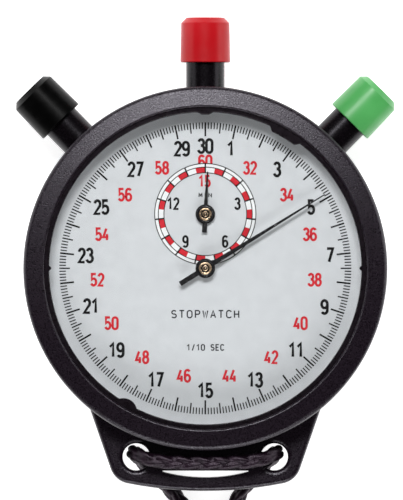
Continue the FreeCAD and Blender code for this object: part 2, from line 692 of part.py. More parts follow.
def counting_work():
    phase = meshed_phase(0, value("minute_leaves"), direction_of(THIRD, MINUTES),
                         value("minute_teeth"))
    keep(fused([arbor(*MINUTES, "1.45", "minute_level + 0.35"),
                wheel(*MINUTES, "8.9", "minute_teeth", "minute_module", "wheel_thick", phase,
                      0.3, 5)]), "minute_wheel")
    for label, (x, y), angle in (("seconds_heart_cam", SECONDS, "seconds_angle"),
                                 ("minute_heart_cam", MINUTES, "minute_angle")):
        shaped(label, heart(2.1, 0.5), x, y, "1.5", Rotation(Vector(0, 0, 1), -value(angle)))
    faces = [("5.6", "-9.0", "1.2"), ("4.6", "0", "0.6"), ("4.6", "9.7", "0.6"),
             ("3.5", "0", "0.5"), ("4.0", "9.7", "0.5"), ("-1.5", "-9.6", "0.6")]
    arm_plate("hammer", "1.5", "0.5", faces,
              [(0, 1, "1.2"), (1, 2, "1.2"), (1, 3, "1.0"), (2, 4, "1.0"), (0, 5, "1.2")],
              [("5.6", "-9.0", "0.63")])


LEVER_PIVOTS = {"start": ("23", "3"), "stop": ("16", "12"), "reset": ("-23", "3")}
TAB_GAP = "stem_inner - 0.7"


def levers():
    for name, reach in (("start", ("15.5", "-5")), ("reset", ("-14", "-8"))):
        pivot = LEVER_PIVOTS[name]
        tab = along(("0", "0"), f"({TAB_GAP})", f"({BUTTONS[name]})")
        arm_plate(f"{name}_lever", "1.5", "0.5",
                  [(*pivot, "1.5"), (*tab, "0.6"), (*reach, "0.6")],
                  [(0, 1, "1.2"), (0, 2, "1.2")], [(*pivot, "0.63")],
                  [(*tab, "0.6", "button_height + 0.9")])
    pivot = LEVER_PIVOTS["stop"]
    tip = ("10.2", "-4.55")
    plate = fused([cylinder(*pivot, "8.1", "1.3", "0.5"), cylinder("0", "19.9", "7.3", "0.6", "1.3"),
                   bar(("0", "19.9"), pivot, "8.1", "1.0", "0.5"),
                   bar(pivot, tip, "8.1", "1.0", "0.5"), cylinder(*tip, "5.6", "0.5", "3.0")])
    keep(cut(plate, [cylinder(*pivot, "7", "0.63", "3")]), "brake_lever")
    posts = []
    for x, y, low, high in (("23", "3", "1.3", "plate_bottom"), ("-23", "3", "1.3", "plate_bottom"),
                            ("16", "12", "7.6", "plate_bottom"), ("5.6", "-9.0", "1.3", "plate_bottom"),
                            ("-18.6", "-2.2", "2.1", "plate_bottom")):
        posts.append(arbor(x, y, low, high, "0.6"))
    x, y = CROWN_WHEEL
    pillar = ("-6.0", "18.5")
    posts.append(fused([arbor(x, y, "winding_bottom - 0.5", "7.15", "1.0"),
                        arbor(x, y, "winding_bottom - 0.5", "winding_bottom - 0.05", "1.7"),
                        bar((x, y), pillar, "6.9", "1.6", "0.25"),
                        arbor(*pillar, "6.9", "plate_bottom", "0.8")]))
    keep(fused(posts), "lever_posts")


# ---------------------------------------------------------------- winding work
def winding_work():
    start = "crown_wheel_y + contrate_radius - 0.75"
    upright = Rotation(Vector(1, 0, 0), -90)
    leaves = doc.addObject("Part::Feature", name_for("leaves"))
    leaves.Shape = pin_wheel()
    place(leaves, "0", start, "button_height", upright)
    hole = box("-stem_square / 2 - 0.03", "20", "button_height - stem_square / 2 - 0.03",
               "stem_square + 0.06", "6", "stem_square + 0.06")
    keep(cut(leaves, [hole]), "winding_pinion")
    x, y = CROWN_WHEEL
    disc = wheel(x, y, "winding_bottom", "crown_wheel_teeth", "winding_module", "winding_thick",
                 0.0, 1.03)
    ring = tube(x, y, "winding_bottom", "contrate_radius + 0.4", "contrate_radius - 0.4",
                "6.35 - winding_bottom")
    teeth = doc.addObject("Part::Feature", name_for("contrate"))
    teeth.Shape = contrate_teeth()
    place(teeth, x, y, "6.3")
    keep(fused([disc, ring, teeth]), "crown_wheel")
    phase = meshed_phase(0, value("crown_wheel_teeth"), direction_of(CROWN_WHEEL, BARREL),
                         value("ratchet_teeth"))
    ratchet = wheel(*BARREL, "winding_bottom", "ratchet_teeth", "winding_module", "winding_thick",
                    phase)
    square = box(f"{BARREL[0]} - 0.51", f"{BARREL[1]} - 0.51", "winding_bottom - 1", "1.02",
                 "1.02", "3")
    core = cylinder(*BARREL, "winding_bottom - 1", "barrel_arbor_radius - 0.39", "3")
    keep(cut(ratchet, [square, core]), "ratchet_wheel")
    arm_plate("click", "winding_bottom", "0.5",
              [("-18.6", "-2.2", "1.0"), ("-14.95", "2.58", "0.25")], [(0, 1, "0.5")],
              [("-18.6", "-2.2", "0.63")])
    keep(fused([bar(("-20.3", "-5.6"), ("-19.4", "1.4"), "winding_bottom", "0.2", "0.5"),
                arbor("-20.3", "-5.6", "winding_bottom", "plate_bottom", "0.5")]), "click_spring")


def pin_wheel():
    """The winding pinion: narrow straight leaves round a core, along its own Z axis."""
    count = int(value("winding_leaves"))
    tip = value("winding_tip")
    length = 1.5
    core = Part.makeCylinder(tip - 0.42, length)
    for leaf in range(count):
        blade = Part.makeBox(tip - 0.5, 0.18, length, Vector(0.5, -0.09, 0))
        blade.rotate(Vector(0, 0, 0), Vector(0, 0, 1), 90 + 360 * leaf / count)
        core = core.fuse(blade)
    return core.removeSplitter()


def contrate_teeth():
    """Upright teeth on the crown wheel's ring, with a gap facing twelve o'clock."""
    count = int(value("contrate_teeth"))
    middle = value("contrate_radius")
    teeth = []
    for tooth in range(count):
        blade = Part.makeBox(0.7, 0.26, 0.5, Vector(middle - 0.35, -0.13, 0))
        blade.rotate(Vector(0, 0, 0), Vector(0, 0, 1), 90 + 360 * (tooth + 0.5) / count)
        teeth.append(blade)
    return Part.makeCompound(teeth)


# ---------------------------------------------------------------- push buttons
def push_buttons():
    for name, angle in BUTTONS.items():
        turn = radial(angle)
        at = {"x": 0, "y": 0, "z": "button_height", "rotation": turn}
        keep(turned("neck", [
            ("stem_radius + 0.04", "neck_start"), ("neck_radius", "neck_start"),
            ("neck_radius", "neck_end"), ("spring_room_radius", "neck_end"),
            ("spring_room_radius", "spring_room_start"),
            ("stem_radius + 0.04", "spring_room_start")], **at), f"{name}_neck")
        cap = turned("cap", [
            ("cap_bore", "cap_start"), ("cap_radius", "cap_start"),
            ("cap_radius - cap_taper", "cap_end - cap_chamfer"),
            ("cap_radius - cap_taper - cap_chamfer", "cap_end"), ("0", "cap_end"),
            ("0", "stem_outer + 0.05"), ("stem_radius + 0.01", "stem_outer + 0.05"),
            ("stem_radius + 0.01", "cap_floor"), ("cap_bore", "cap_floor")], **at)
        add_fillet(cap, cap.Tip, "0.2", on_circle("cap_radius", "cap_start"))
        keep(cap, f"{name}_cap")
        inner = "stop_stem_inner" if name == "stop" else "stem_inner"
        profile = [("0", inner), ("stem_radius", inner), ("stem_radius", "neck_start - 0.75"),
                   ("stem_collar", "neck_start - 0.75"), ("stem_collar", "neck_start - 0.05"),
                   ("stem_radius", "neck_start - 0.05"), ("stem_radius", "stem_outer"),
                   ("0", "stem_outer")]
        stem = turned("stem", profile, **at)
        if name == "stop":
            square = box("-stem_square / 2", "square_start", "button_height - stem_square / 2",
                         "stem_square", "square_length", "stem_square")
            stem = fused([stem, square])
        keep(stem, f"{name}_stem")
        spring_end = "cap_floor - 0.9" if name == "stop" else "cap_floor - 0.25"
        helix_spring(f"{name}_spring", "spring_mean", "spring_wire", "spring_room_start + 0.25",
                     spring_end, "spring_turns", "0", "0", "button_height", turn)
    keep(turned("washer", [
        ("stem_radius + 0.05", "cap_floor - 0.6"), ("3.0", "cap_floor - 0.6"),
        ("3.0", "cap_floor - 0.05"), ("stem_radius + 0.05", "cap_floor - 0.05")],
        0, 0, "button_height", radial("90")), "crown_washer")


# ---------------------------------------------------------------- hands
def hand(name, axis, reach, tail, angle, level, root_width, tail_width):
    """A flat tapering hand on a round hub, turned clockwise from twelve o'clock."""
    x, y = axis
    turn = Rotation(Vector(0, 0, 1), -value(angle))
    body = new_body(name)
    sketch = new_sketch(body, "XY_Plane")
    draw_outline(sketch, [
        (f"-({tail_width}) / 2", f"-({tail})"), (f"({tail_width}) / 2", f"-({tail})"),
        (f"({root_width}) / 2", "0"), ("0.1", f"{reach}"), ("-0.1", f"{reach}"),
        (f"-({root_width}) / 2", "0")])
    add_pad(body, sketch, "hand_thick")
    place(body, x, y, level, turn)
    blade = fused([body, cylinder(x, y, level, "hub_radius", "hand_thick")])
    keep(cut(blade, [cylinder(x, y, f"{level} - 1", "hub_ring", "3")]), f"{name}_hand")
    bush = turned("bush", [
        ("arbor_radius", "-0.1"), ("hub_ring", "-0.1"), ("hub_ring", "0.4"),
        ("hub_bore", "0.4"), ("hub_bore", "0.1"), ("arbor_radius", "0.1")], x, y, level)
    keep(bush, f"{name}_hand_bush")


# ---------------------------------------------------------------- neck cord
LEFT_STRAND = [(-3.6, -44.5, 2.2), (-3.6, -43.0, 2.2), (-4.9, -41.2, 1.9), (-6.9, -39.3, 1.6),
               (-8.9, -37.0, 1.5), (-11.4, -34.7, 2.3), (-12.6, -33.15, 4.6),
               (-12.85, -32.95, 7.4), (-12.6, -33.1, 10.0), (-11.0, -33.9, 12.4),
               (-7.8, -34.65, 13.05), (-2.6, -34.75, 13.0)]
RIGHT_STRAND = [(2.6, -34.75, 13.0), (7.8, -34.65, 13.05), (11.0, -33.9, 12.4),
                (12.6, -33.1, 10.0), (12.85, -32.95, 7.4), (12.6, -33.15, 4.6),
                (11.4, -34.7, 2.3), (8.9, -37.0, 1.5), (6.8, -39.6, 1.6), (5.4, -42.2, 1.6),
                (4.4, -45.2, 1.8), (3.8, -48.8, 2.1), (3.5, -52.2, 2.2), (3.5, -55.0, 2.2)]


def cord_path(route):
    """Straight runs between the points of a route, joined by tangent arcs."""
    points = [Vector(*point) for point in route]
    edges = []
    radii = []
    cursor = points[0]
    for before, corner, after in zip(points, points[1:], points[2:]):
        arriving = (corner - before).normalize()
        leaving = (after - corner).normalize()
        reach = 0.45 * min((corner - before).Length, (after - corner).Length)
        turn = arriving.getAngle(leaving)
        start = corner - arriving * reach
        end = corner + leaving * reach
        radius = reach / math.tan(turn / 2)
        inward = (leaving - arriving).normalize()
        middle = corner + inward * (radius / math.cos(turn / 2) - radius)
        edges.append(Part.LineSegment(cursor, start).toShape())
        edges.append(Part.Arc(start, middle, end).toShape())
        radii.append(radius)
        cursor = end
    edges.append(Part.LineSegment(cursor, points[-1]).toShape())
    return Part.Wire(edges), radii


def neck_cord():
    radius = value("cord_radius")
    path, radii = cord_path(LEFT_STRAND + RIGHT_STRAND)
    print("cord bends:", " ".join(f"{r:.1f}" for r in radii))
    start = path.Edges[0].Vertexes[0].Point
    circle = Part.Circle(start, path.Edges[0].tangentAt(0), radius)
    cord = path.makePipeShell([Part.Wire(circle.toShape())], True, True)
    section = math.pi * radius ** 2
    print(f"cord volume {cord.Volume:.0f}, section by length {section * path.Length:.0f}")
    strand = doc.addObject("Part::Feature", name_for("strand"))
    strand.Shape = cord
    backwards = Rotation(Vector(1, 0, 0), 90)
    tail = cylinder("-joiner_x", "-joiner_end", "joiner_radius", "cord_radius",
                    "hank_start - joiner_end", backwards)
    keep(fused([strand, tail]), "lanyard_cord")
    keep(cylinder("-joiner_x", "-joiner_start", "joiner_radius", "joiner_radius",
                  "joiner_end - joiner_start", backwards), "lanyard_joiner")
    body = new_body("hank_blank")
    sketch = new_sketch(body, "XY_Plane")
    draw_outline(sketch, [("-hank_width / 2", "-hank_end"), ("hank_width / 2", "-hank_end"),
                          ("hank_width / 2", "-hank_start"), ("-hank_width / 2", "-hank_start")])
    base = add_pad(body, sketch, "hank_thick")
    base = add_fillet(body, base, "hank_corner",
                      lambda edge: edge.BoundBox.ZLength > value("hank_thick") - 0.1)
    add_fillet(body, base, "1.8", lambda edge: edge.BoundBox.ZMin > value("hank_thick") - 0.01)

    waist = box("-hank_width", "-tie_middle - tie_length / 2", "-1", "2 * hank_width",
                "tie_length", "hank_thick + 2")
    core = box("-tie_width / 2 + tie_thick", "-tie_middle - tie_length / 2 - 1", "tie_thick",
               "tie_width - 2 * tie_thick", "tie_length + 2", "hank_thick - 2 * tie_thick")
    band = box("-tie_width / 2", "-tie_middle - tie_length / 2", "0", "tie_width", "tie_length",
               "hank_thick")
    keep(cut(body, [cut(waist, [core])]), "lanyard_hank")
    keep(cut(band, [core]), "lanyard_tie")


# ---------------------------------------------------------------- build and write
case_shell()
back_cover()
crystal_and_dial()
movement_frame()
barrel_group()
train_wheels()
escapement()
counting_work()
levers()
winding_work()
push_buttons()
hand("seconds", SECONDS, "seconds_reach", "seconds_tail", "seconds_angle", "seconds_level",
     "0.9", "0.9")
hand("minute", MINUTES, "minute_reach", "minute_tail", "minute_angle", "minute_level",
     "0.8", "0.9")
neck_cord()
doc.recompute()

for thing in doc.Objects:
    if "Invalid" in thing.State or "Error" in thing.State:
        raise RuntimeError(f"{thing.Name} ({thing.Label}) failed: {thing.State}")
for piece in pieces:
    if piece.Shape.isNull() or not piece.Shape.isValid():
        raise RuntimeError(f"{piece.Label} has no valid shape")

os.makedirs("parts", exist_ok=True)
for piece in pieces:
    piece.Shape.exportStep(f"parts/{piece.Label}.step")
print(len(pieces), "sub-parts written")
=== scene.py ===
"""Studio scene for the mechanical stopwatch: looks only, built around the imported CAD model.

Metres, in the model's frame: the watch lies on its back, dial towards +Z, twelve o'clock towards
+Y, and the origin is on the seconds axis.  Lengths written in millimetres are multiplied by MM.
"""

import json
import math

import bmesh
import bpy
from mathutils import Matrix, Vector


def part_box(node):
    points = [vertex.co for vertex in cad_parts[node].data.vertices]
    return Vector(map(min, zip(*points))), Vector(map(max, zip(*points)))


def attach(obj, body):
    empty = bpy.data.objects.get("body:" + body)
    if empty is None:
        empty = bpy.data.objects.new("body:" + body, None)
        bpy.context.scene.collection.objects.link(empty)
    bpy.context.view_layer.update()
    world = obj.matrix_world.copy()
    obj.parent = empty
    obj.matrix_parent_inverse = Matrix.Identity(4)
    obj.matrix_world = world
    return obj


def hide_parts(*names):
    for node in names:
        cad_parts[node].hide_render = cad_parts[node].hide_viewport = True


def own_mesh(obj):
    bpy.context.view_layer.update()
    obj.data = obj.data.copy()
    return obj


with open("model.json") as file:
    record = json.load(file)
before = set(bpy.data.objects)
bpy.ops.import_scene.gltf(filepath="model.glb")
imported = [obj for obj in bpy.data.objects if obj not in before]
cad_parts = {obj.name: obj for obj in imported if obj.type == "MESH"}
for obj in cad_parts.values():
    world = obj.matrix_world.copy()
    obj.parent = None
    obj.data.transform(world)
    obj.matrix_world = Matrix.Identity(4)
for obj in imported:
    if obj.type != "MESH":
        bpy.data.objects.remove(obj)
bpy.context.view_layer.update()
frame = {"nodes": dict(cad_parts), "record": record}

MM = 0.001
DIAL_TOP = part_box("dial")[1][2]
PRINT = 0.02 * MM  # thickness of the ink
PRINT_STEP = 0.0015 * MM
PRINT_CLEARANCE = 0.004 * MM
MINUTE_CENTRE = Vector((0.0, sum(corner[1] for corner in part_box("minute_hand_bush")) / 2, 0.0))


# ---------------------------------------------------------------- node helpers
class Nodes:
    """A material's node tree with short ways to add and join nodes."""

    def __init__(self, name):
        self.material = bpy.data.materials.new(name)
        self.material.use_nodes = True
        self.tree = self.material.node_tree
        self.tree.nodes.clear()
        self.output = self.add("ShaderNodeOutputMaterial")
        self.shader = self.add("ShaderNodeBsdfPrincipled")
        self.join(self.shader.outputs["BSDF"], self.output.inputs["Surface"])
        self.place = self.add("ShaderNodeTexCoord").outputs["Object"]

    def add(self, kind, **settings):
        node = self.tree.nodes.new(kind)
        for key, setting in settings.items():
            setattr(node, key, setting)
        return node

    def join(self, source, target):
        self.tree.links.new(source, target)

    def surface(self, **values):
        """Set sockets of the main shader by their names, with spaces written as underscores."""
        for key, setting in values.items():
            self.shader.inputs[key.replace("_", " ")].default_value = setting

    def mapped(self, scale):
        """The object's own coordinates, in metres, scaled along each axis."""
        mapping = self.add("ShaderNodeMapping")
        mapping.inputs["Scale"].default_value = scale
        self.join(self.place, mapping.inputs["Vector"])
        return mapping.outputs["Vector"]

    def noise(self, scale, detail=3.0, rough=0.5, stretch=(1, 1, 1)):
        node = self.add("ShaderNodeTexNoise")
        node.inputs["Scale"].default_value = scale
        node.inputs["Detail"].default_value = detail
        node.inputs["Roughness"].default_value = rough
        self.join(self.mapped(stretch), node.inputs["Vector"])
        return node.outputs["Fac"]

    def spread(self, source, low, high, start=0.0, end=1.0):
        """Rescale a value from start..end to low..high."""
        node = self.add("ShaderNodeMapRange")
        for key, setting in (("From Min", start), ("From Max", end), ("To Min", low),
                             ("To Max", high)):
            node.inputs[key].default_value = setting
        self.join(source, node.inputs["Value"])
        return node.outputs["Result"]

    def ramp(self, source, *stops):
        node = self.add("ShaderNodeValToRGB")
        band = node.color_ramp
        while len(band.elements) < len(stops):
            band.elements.new(0.5)
        for element, (position, colour) in zip(band.elements, stops):
            element.position = position
            element.color = (*colour, 1.0)
        self.join(source, node.inputs["Fac"])
        return node.outputs["Color"]

    def bump(self, height, strength, distance):
        node = self.add("ShaderNodeBump")
        node.inputs["Strength"].default_value = strength
        node.inputs["Distance"].default_value = distance
        self.join(height, node.inputs["Height"])
        self.join(node.outputs["Normal"], self.shader.inputs["Normal"])

    def colour(self, source):
        self.join(source, self.shader.inputs["Base Color"])

    def rough(self, source):
        self.join(source, self.shader.inputs["Roughness"])


def srgb(red, green, blue):
    """Linear colour from the 0 to 255 numbers that a colour picker shows."""
    def linear(level):
        share = level / 255
        return share / 12.92 if share <= 0.04045 else ((share + 0.055) / 1.055) ** 2.4
    return (linear(red), linear(green), linear(blue))


# ---------------------------------------------------------------- materials
def moulded_plastic(name, low, high, rough, grain, sheen=0.5, sparkle=0.5):
    """Case plastic: a fine spark-eroded grain with slightly uneven colour and shine."""
    nodes = Nodes(name)
    nodes.surface(Specular_IOR_Level=sheen, Specular_Tint=(0.94, 0.9, 1.0, 1.0))
    speckle = nodes.noise(grain, 3, 0.65)
    nodes.colour(nodes.ramp(speckle, (0.35, low), (0.7, high)))
    nodes.rough(nodes.spread(speckle, rough[0], rough[1], 0.3, 0.7))
    nodes.bump(speckle, sparkle, 0.06 * MM)
    return nodes.material


def glossy_plastic(name, low, high, sheen=0.3):
    """Polished coloured plastic with the faint waviness of a handled button."""
    nodes = Nodes(name)
    nodes.surface(Specular_IOR_Level=sheen)
    nodes.colour(nodes.ramp(nodes.noise(160, 2), (0.3, low), (0.7, high)))
    nodes.rough(nodes.spread(nodes.noise(700, 3), 0.28, 0.36, 0.35, 0.7))
    nodes.bump(nodes.noise(400, 2), 0.06, 0.02 * MM)
    return nodes.material


def painted(name, low, high, rough, bumpiness=0.1, sheen=0.15):
    nodes = Nodes(name)
    nodes.surface(Specular_IOR_Level=sheen)
    nodes.colour(nodes.ramp(nodes.noise(420, 4), (0.3, low), (0.7, high)))
    nodes.rough(nodes.spread(nodes.noise(1500, 4), rough[0], rough[1], 0.3, 0.7))
    nodes.bump(nodes.noise(3200, 2), bumpiness, 0.02 * MM)
    return nodes.material


def metal(name, low, high, rough, stretch=(1, 40, 1), scale=120):
    """Brushed metal: long scratches along one way, with slight tarnish."""
    nodes = Nodes(name)
    nodes.surface(Metallic=1.0)
    nodes.colour(nodes.ramp(nodes.noise(260, 5), (0.3, low), (0.7, high)))
    scratches = nodes.noise(scale, 6, 0.6, stretch)
    nodes.rough(nodes.spread(scratches, rough[0], rough[1], 0.3, 0.7))
    nodes.bump(scratches, 0.12, 0.02 * MM)
    return nodes.material


def clear_glass(name):
    """The crystal: clear, with a Transparent shader for lamp and diffuse rays so that the dial is
    lit once, by lamps alone."""
    nodes = Nodes(name)
    nodes.surface(Base_Color=(1, 1, 1, 1), Transmission_Weight=1.0, IOR=1.18, Roughness=0.0)
    nodes.rough(nodes.spread(nodes.noise(60, 2), 0.0, 0.012, 0.4, 0.7))
    clear = nodes.add("ShaderNodeBsdfTransparent")
    path = nodes.add("ShaderNodeLightPath")
    let_through = nodes.add("ShaderNodeMath", operation="MAXIMUM")
    nodes.join(path.outputs["Is Shadow Ray"], let_through.inputs[0])
    nodes.join(path.outputs["Is Diffuse Ray"], let_through.inputs[1])
    mix = nodes.add("ShaderNodeMixShader")
    nodes.join(let_through.outputs["Value"], mix.inputs["Fac"])
    nodes.join(nodes.shader.outputs["BSDF"], mix.inputs[1])
    nodes.join(clear.outputs["BSDF"], mix.inputs[2])
    nodes.join(mix.outputs["Shader"], nodes.output.inputs["Surface"])
    return nodes.material


def yarn(name, low, high):
    """Braided cord: fine fibres with a soft sheen and strands that differ a little in colour."""
    nodes = Nodes(name)
    nodes.surface(Sheen_Weight=0.02, Sheen_Roughness=0.35, Specular_IOR_Level=0.45,
                  Specular_Tint=(0.95, 0.78, 0.95, 1.0))
    tone = nodes.noise(700, 4)
    nodes.colour(nodes.ramp(tone, (0.3, low), (0.72, high)))
    nodes.rough(nodes.spread(nodes.noise(2500, 3), 0.24, 0.42, 0.3, 0.7))
    nodes.bump(nodes.noise(5200, 4, 0.7), 0.6, 0.12 * MM)
    return nodes.material


CASE = moulded_plastic("case_plastic", srgb(8, 3, 8), srgb(26, 14, 26), (0.22, 0.4), 3800,
                       0.54, 0.85)
CASE_WALL = moulded_plastic("rim_wall_gloss", srgb(14, 9, 13), srgb(22, 15, 21), (0.25, 0.34), 1500,
                            0.2, 0.2)
BACK = moulded_plastic("back_plastic", srgb(24, 19, 26), srgb(36, 29, 38), (0.45, 0.6), 4200)
NECK = moulded_plastic("neck_plastic", srgb(7, 5, 7), srgb(14, 10, 14), (0.22, 0.3), 2600,
                       0.2, 0.15)
RED_CAP = glossy_plastic("red_cap", srgb(184, 18, 27), srgb(194, 25, 34), 0.22)
GREEN_CAP = glossy_plastic("green_cap", srgb(74, 160, 84), srgb(86, 174, 96), 0.4)
BLACK_CAP = glossy_plastic("black_cap", srgb(2, 2, 2), srgb(4, 4, 4), 0.1)
DIAL = painted("dial_paint", srgb(205, 209, 212), srgb(212, 216, 219), (0.42, 0.55), 0.05)
BLACK_INK = painted("black_ink", srgb(4, 4, 5), srgb(8, 8, 10), (0.45, 0.6))
RED_INK = painted("red_ink", srgb(198, 36, 48), srgb(210, 48, 58), (0.4, 0.55))
TRACK_WHITE = painted("track_white", srgb(236, 239, 240), srgb(243, 245, 246), (0.42, 0.55), 0.05)
GREY_INK = painted("grey_ink", srgb(34, 35, 39), srgb(48, 49, 54), (0.4, 0.55))
HAND = painted("hand_black", srgb(8, 8, 10), srgb(16, 16, 19), (0.3, 0.42), 0.1, 0.3)
BRASS = metal("gilt_brass", srgb(150, 128, 104), srgb(182, 160, 134), (0.22, 0.4))
STEEL = metal("movement_steel", srgb(150, 152, 156), srgb(190, 192, 196), (0.2, 0.4))
JOINER = metal("joiner_metal", srgb(128, 130, 134), srgb(170, 172, 176), (0.18, 0.34), (40, 1, 40))
GLASS = clear_glass("crystal_clear")
JEWEL = glossy_plastic("jewel_red", srgb(150, 16, 48), srgb(186, 32, 66))
RUBBER = moulded_plastic("gasket_rubber", srgb(18, 18, 19), srgb(30, 30, 31), (0.6, 0.8), 2600)
RING = moulded_plastic("ring_plastic", srgb(50, 50, 54), srgb(66, 66, 70), (0.45, 0.6), 2400)
CORD_DARK = yarn("cord_weave", srgb(5, 1, 5), srgb(26, 8, 23))

SLOT_MATERIALS = {
    "case_plastic": CASE, "start_green": GREEN_CAP, "stop_red": RED_CAP, "reset_black": BLACK_CAP,
    "crystal_clear": GLASS, "dial_white": DIAL, "hand_black": HAND, "gilt_brass": BRASS,
    "movement_steel": STEEL, "jewel_red": JEWEL, "gasket_rubber": RUBBER, "ring_plastic": RING,
    "cord_weave": CORD_DARK, "tie_black": RUBBER, "joiner_metal": JOINER,
}
NODE_MATERIALS = {"back_cover": BACK, "start_neck": NECK, "stop_neck": NECK, "reset_neck": NECK}


def dress_cad_nodes():
    """Give every carried-over CAD node its procedural material."""
    slots = {part["node"]: part["material_slot"] for part in frame["record"]["subparts"]}
    for node, thing in frame["nodes"].items():
        material = NODE_MATERIALS.get(node, SLOT_MATERIALS[slots[node]])
        if not thing.material_slots:
            thing.data.materials.append(material)
        for holder in thing.material_slots:
            holder.material = material


# ---------------------------------------------------------------- mesh helpers
def mesh_object(name, vertices, faces, material, smooth=False):
    mesh = bpy.data.meshes.new(name)
    mesh.from_pydata([tuple(v) for v in vertices], [], faces)
    mesh.validate()
    mesh.update()
    mesh.materials.append(material)
    for polygon in mesh.polygons:
        polygon.use_smooth = smooth
    thing = bpy.data.objects.new(name, mesh)
    bpy.context.scene.collection.objects.link(thing)
    return thing


def lathe(name, profile, material, segments=64):
    """A closed solid turned about Z from (radius, height) points; a radius of 0 closes an end."""
    vertices, rings, faces = [], [], []
    for radius, height in profile:
        if radius == 0:
            rings.append([len(vertices)])
            vertices.append((0, 0, height))
            continue
        rings.append(list(range(len(vertices), len(vertices) + segments)))
        for step in range(segments):
            angle = 2 * math.pi * step / segments
            vertices.append((radius * math.cos(angle), radius * math.sin(angle), height))
    for lower, upper in zip(rings, rings[1:]):
        for step in range(segments):
            following = (step + 1) % segments
            corners = [lower[step % len(lower)], lower[following % len(lower)],
                       upper[following % len(upper)], upper[step % len(upper)]]
            faces.append(list(dict.fromkeys(corners)))
    return mesh_object(name, vertices, faces, material, smooth=True)


def printed(name, outlines, material, height=PRINT):
    """Ink on the dial: flat polygons raised into thin closed films.

    The films' tops take turns at six levels, so that no two that overlap share one plane.
    """
    base = DIAL_TOP + PRINT_CLEARANCE
    top = DIAL_TOP + height
    vertices, faces = [], []
    for number, outline in enumerate(outlines):
        first = len(vertices)
        count = len(outline)
        level = top + number % 6 * PRINT_STEP
        vertices += [(x, y, base) for x, y in outline] + [(x, y, level) for x, y in outline]
        faces.append(list(range(first + count, first + 2 * count)))
        faces.append(list(range(first + count - 1, first - 1, -1)))
        for step in range(count):
            following = (step + 1) % count
            faces.append([first + step, first + following, first + count + following,
                          first + count + step])
    ink = mesh_object(name, vertices, faces, material)
    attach(ink, "root")
    return ink


# ---------------------------------------------------------------- a plain stroke alphabet
def bow(cx, cy, rx, ry, start, end, steps=10):
    """Points along part of an ellipse, from one angle to another in degrees."""
    return [(cx + rx * math.cos(math.radians(start + (end - start) * step / steps)),
             cy + ry * math.sin(math.radians(start + (end - start) * step / steps)))
            for step in range(steps + 1)]


def ring(cx, cy, rx, ry):
    return bow(cx, cy, rx, ry, 0, 360, 24)


def stadium(low, high, bend):
    """An upright closed loop, one unit wide, with rounded ends."""
    return (bow(0.5, high - bend, 0.5, bend, 0, 180, 12)
            + bow(0.5, low + bend, 0.5, bend, 180, 360, 12)
            + [(1.0, high - bend)])


# Each glyph is a list of strokes; a stroke is a line of points in a box one unit wide and one high.
GLYPHS = {
    "0": [stadium(0, 1, 0.24)],
    "1": [[(0.08, 0.74), (0.62, 1.0), (0.62, 0.0)]],
    "2": [bow(0.5, 0.74, 0.47, 0.26, 170, -20) + [(0.9, 0.58), (0.02, 0.0), (1.0, 0.0)]],
    "3": [bow(0.48, 0.765, 0.44, 0.235, 165, -60) + [(0.42, 0.54)],
          [(0.42, 0.54)] + bow(0.48, 0.27, 0.52, 0.27, 72, -165)],
    "4": [[(0.62, 1.0), (0.0, 0.26), (1.04, 0.26)], [(0.76, 0.52), (0.76, 0.0)]],
    "5": [[(0.92, 1.0), (0.12, 1.0), (0.06, 0.5)] + bow(0.46, 0.31, 0.52, 0.3, 130, -155)],
    "6": [bow(0.5, 0.74, 0.5, 0.26, 30, 180) + bow(0.5, 0.29, 0.5, 0.29, 180, 540, 24)],
    "7": [[(0.0, 1.0), (1.0, 1.0), (0.34, 0.0)]],
    "8": [ring(0.5, 0.765, 0.43, 0.235), ring(0.5, 0.27, 0.5, 0.27)],
    "9": [bow(0.5, 0.26, 0.5, 0.26, 210, 360) + bow(0.5, 0.71, 0.5, 0.29, 0, 360, 24)],
    "/": [[(0.0, -0.05), (1.0, 1.05)]],
    "A": [[(0.0, 0.0), (0.5, 1.0), (1.0, 0.0)], [(0.18, 0.34), (0.82, 0.34)]],
    "C": [bow(0.55, 0.74, 0.5, 0.26, 20, 180) + bow(0.55, 0.26, 0.5, 0.26, 180, 340)],
    "E": [[(0.95, 1.0), (0.08, 1.0), (0.08, 0.0), (0.95, 0.0)], [(0.08, 0.52), (0.82, 0.52)]],
    "H": [[(0.05, 0.0), (0.05, 1.0)], [(0.95, 0.0), (0.95, 1.0)], [(0.05, 0.5), (0.95, 0.5)]],
    "I": [[(0.5, 0.0), (0.5, 1.0)]],
    "M": [[(0.0, 0.0), (0.0, 1.0), (0.5, 0.35), (1.0, 1.0), (1.0, 0.0)]],
    "N": [[(0.04, 0.0), (0.04, 1.0), (0.96, 0.0), (0.96, 1.0)]],
    "O": [stadium(0, 1, 0.3)],
    "P": [[(0.06, 0.0), (0.06, 1.0), (0.55, 1.0)] + bow(0.58, 0.74, 0.4, 0.26, 85, -90)
          + [(0.06, 0.48)]],
    "S": [bow(0.5, 0.755, 0.46, 0.245, 30, 255) + bow(0.5, 0.265, 0.48, 0.265, 75, -150)],
    "T": [[(0.0, 1.0), (1.0, 1.0)], [(0.5, 1.0), (0.5, 0.0)]],
    "W": [[(0.0, 1.0), (0.24, 0.0), (0.5, 0.8), (0.76, 0.0), (1.0, 1.0)]],
}


